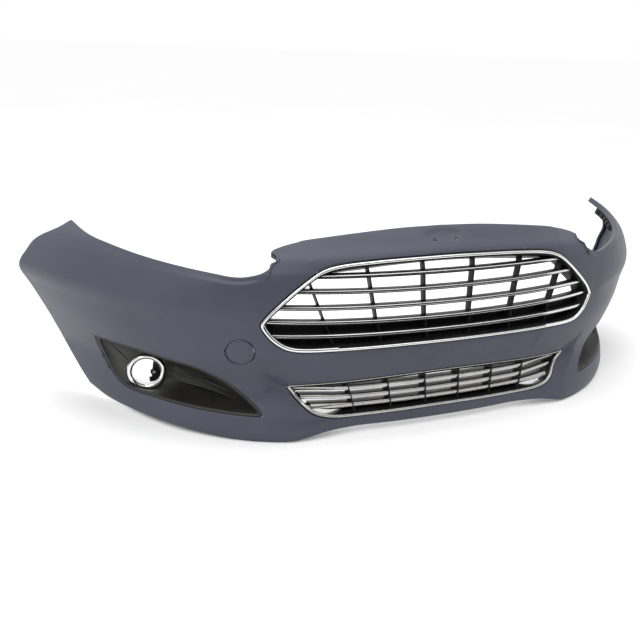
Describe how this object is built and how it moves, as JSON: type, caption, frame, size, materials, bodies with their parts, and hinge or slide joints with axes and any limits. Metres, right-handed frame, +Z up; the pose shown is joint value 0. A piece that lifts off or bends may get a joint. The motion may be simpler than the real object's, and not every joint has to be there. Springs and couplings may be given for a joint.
{
  "type": "front bumper cover",
  "caption": "Thin painted front bumper cover with barred upper and lower grilles, fog-lamp bezels, a round tow-eye cap and wing brackets.",
  "frame": {"origin": "on the ground plane under the middle of the cover's overall box", "axes": "+X across the car towards the right of the front view, -Y out of the nose, +Z up"},
  "size_m": [1.7026, 0.5232, 0.437],
  "materials": {
    "primer_grey": "satin grey-violet primer on moulded plastic",
    "black_plastic": "satin black moulded plastic",
    "grained_black": "fine-grained black moulded plastic",
    "chrome_trim": "bright chrome plating on plastic",
    "satin_chrome": "satin chrome plating on plastic",
    "zinc_steel": "zinc-plated steel"
  },
  "bodies": {
    "cover": {"bumper_skin": "primer_grey", "fog_bezel_left": "grained_black", "fog_bezel_right": "grained_black", "fog_bracket_left": "black_plastic", "fog_bracket_right": "black_plastic", "fog_ring_left": "chrome_trim", "fog_ring_right": "chrome_trim", "fog_screw_left_1": "zinc_steel", "fog_screw_left_2": "zinc_steel", "fog_screw_right_1": "zinc_steel", "fog_screw_right_2": "zinc_steel", "lower_grille_frame": "black_plastic", "lower_slat_1": "satin_chrome", "lower_slat_2": "satin_chrome", "lower_slat_3": "satin_chrome", "lower_trim_top": "satin_chrome", "lower_trim_u": "satin_chrome", "upper_grille_frame": "black_plastic", "upper_slat_1": "black_plastic", "upper_slat_2": "black_plastic", "upper_slat_3": "black_plastic", "upper_slat_4": "black_plastic", "upper_slat_5": "black_plastic", "upper_slat_trim_1": "chrome_trim", "upper_slat_trim_2": "chrome_trim", "upper_slat_trim_3": "chrome_trim", "upper_slat_trim_4": "chrome_trim", "upper_slat_trim_5": "chrome_trim", "upper_trim_arch": "chrome_trim", "upper_trim_centre": "chrome_trim", "upper_trim_corner_left": "chrome_trim", "upper_trim_corner_right": "chrome_trim", "wing_bracket_left": "black_plastic", "wing_bracket_right": "black_plastic", "wing_screw_left_1": "zinc_steel", "wing_screw_left_2": "zinc_steel", "wing_screw_right_1": "zinc_steel", "wing_screw_right_2": "zinc_steel"},
    "tow_eye_lid": {"tow_cap": "primer_grey"}
  },
  "joints": [
    {"name": "tow_cap_pull", "type": "slide", "parent": "cover", "child": "tow_eye_lid", "axis": [-0.4263, -0.8956, -0.1275], "range_m": [0, 0.03]}
  ]
}
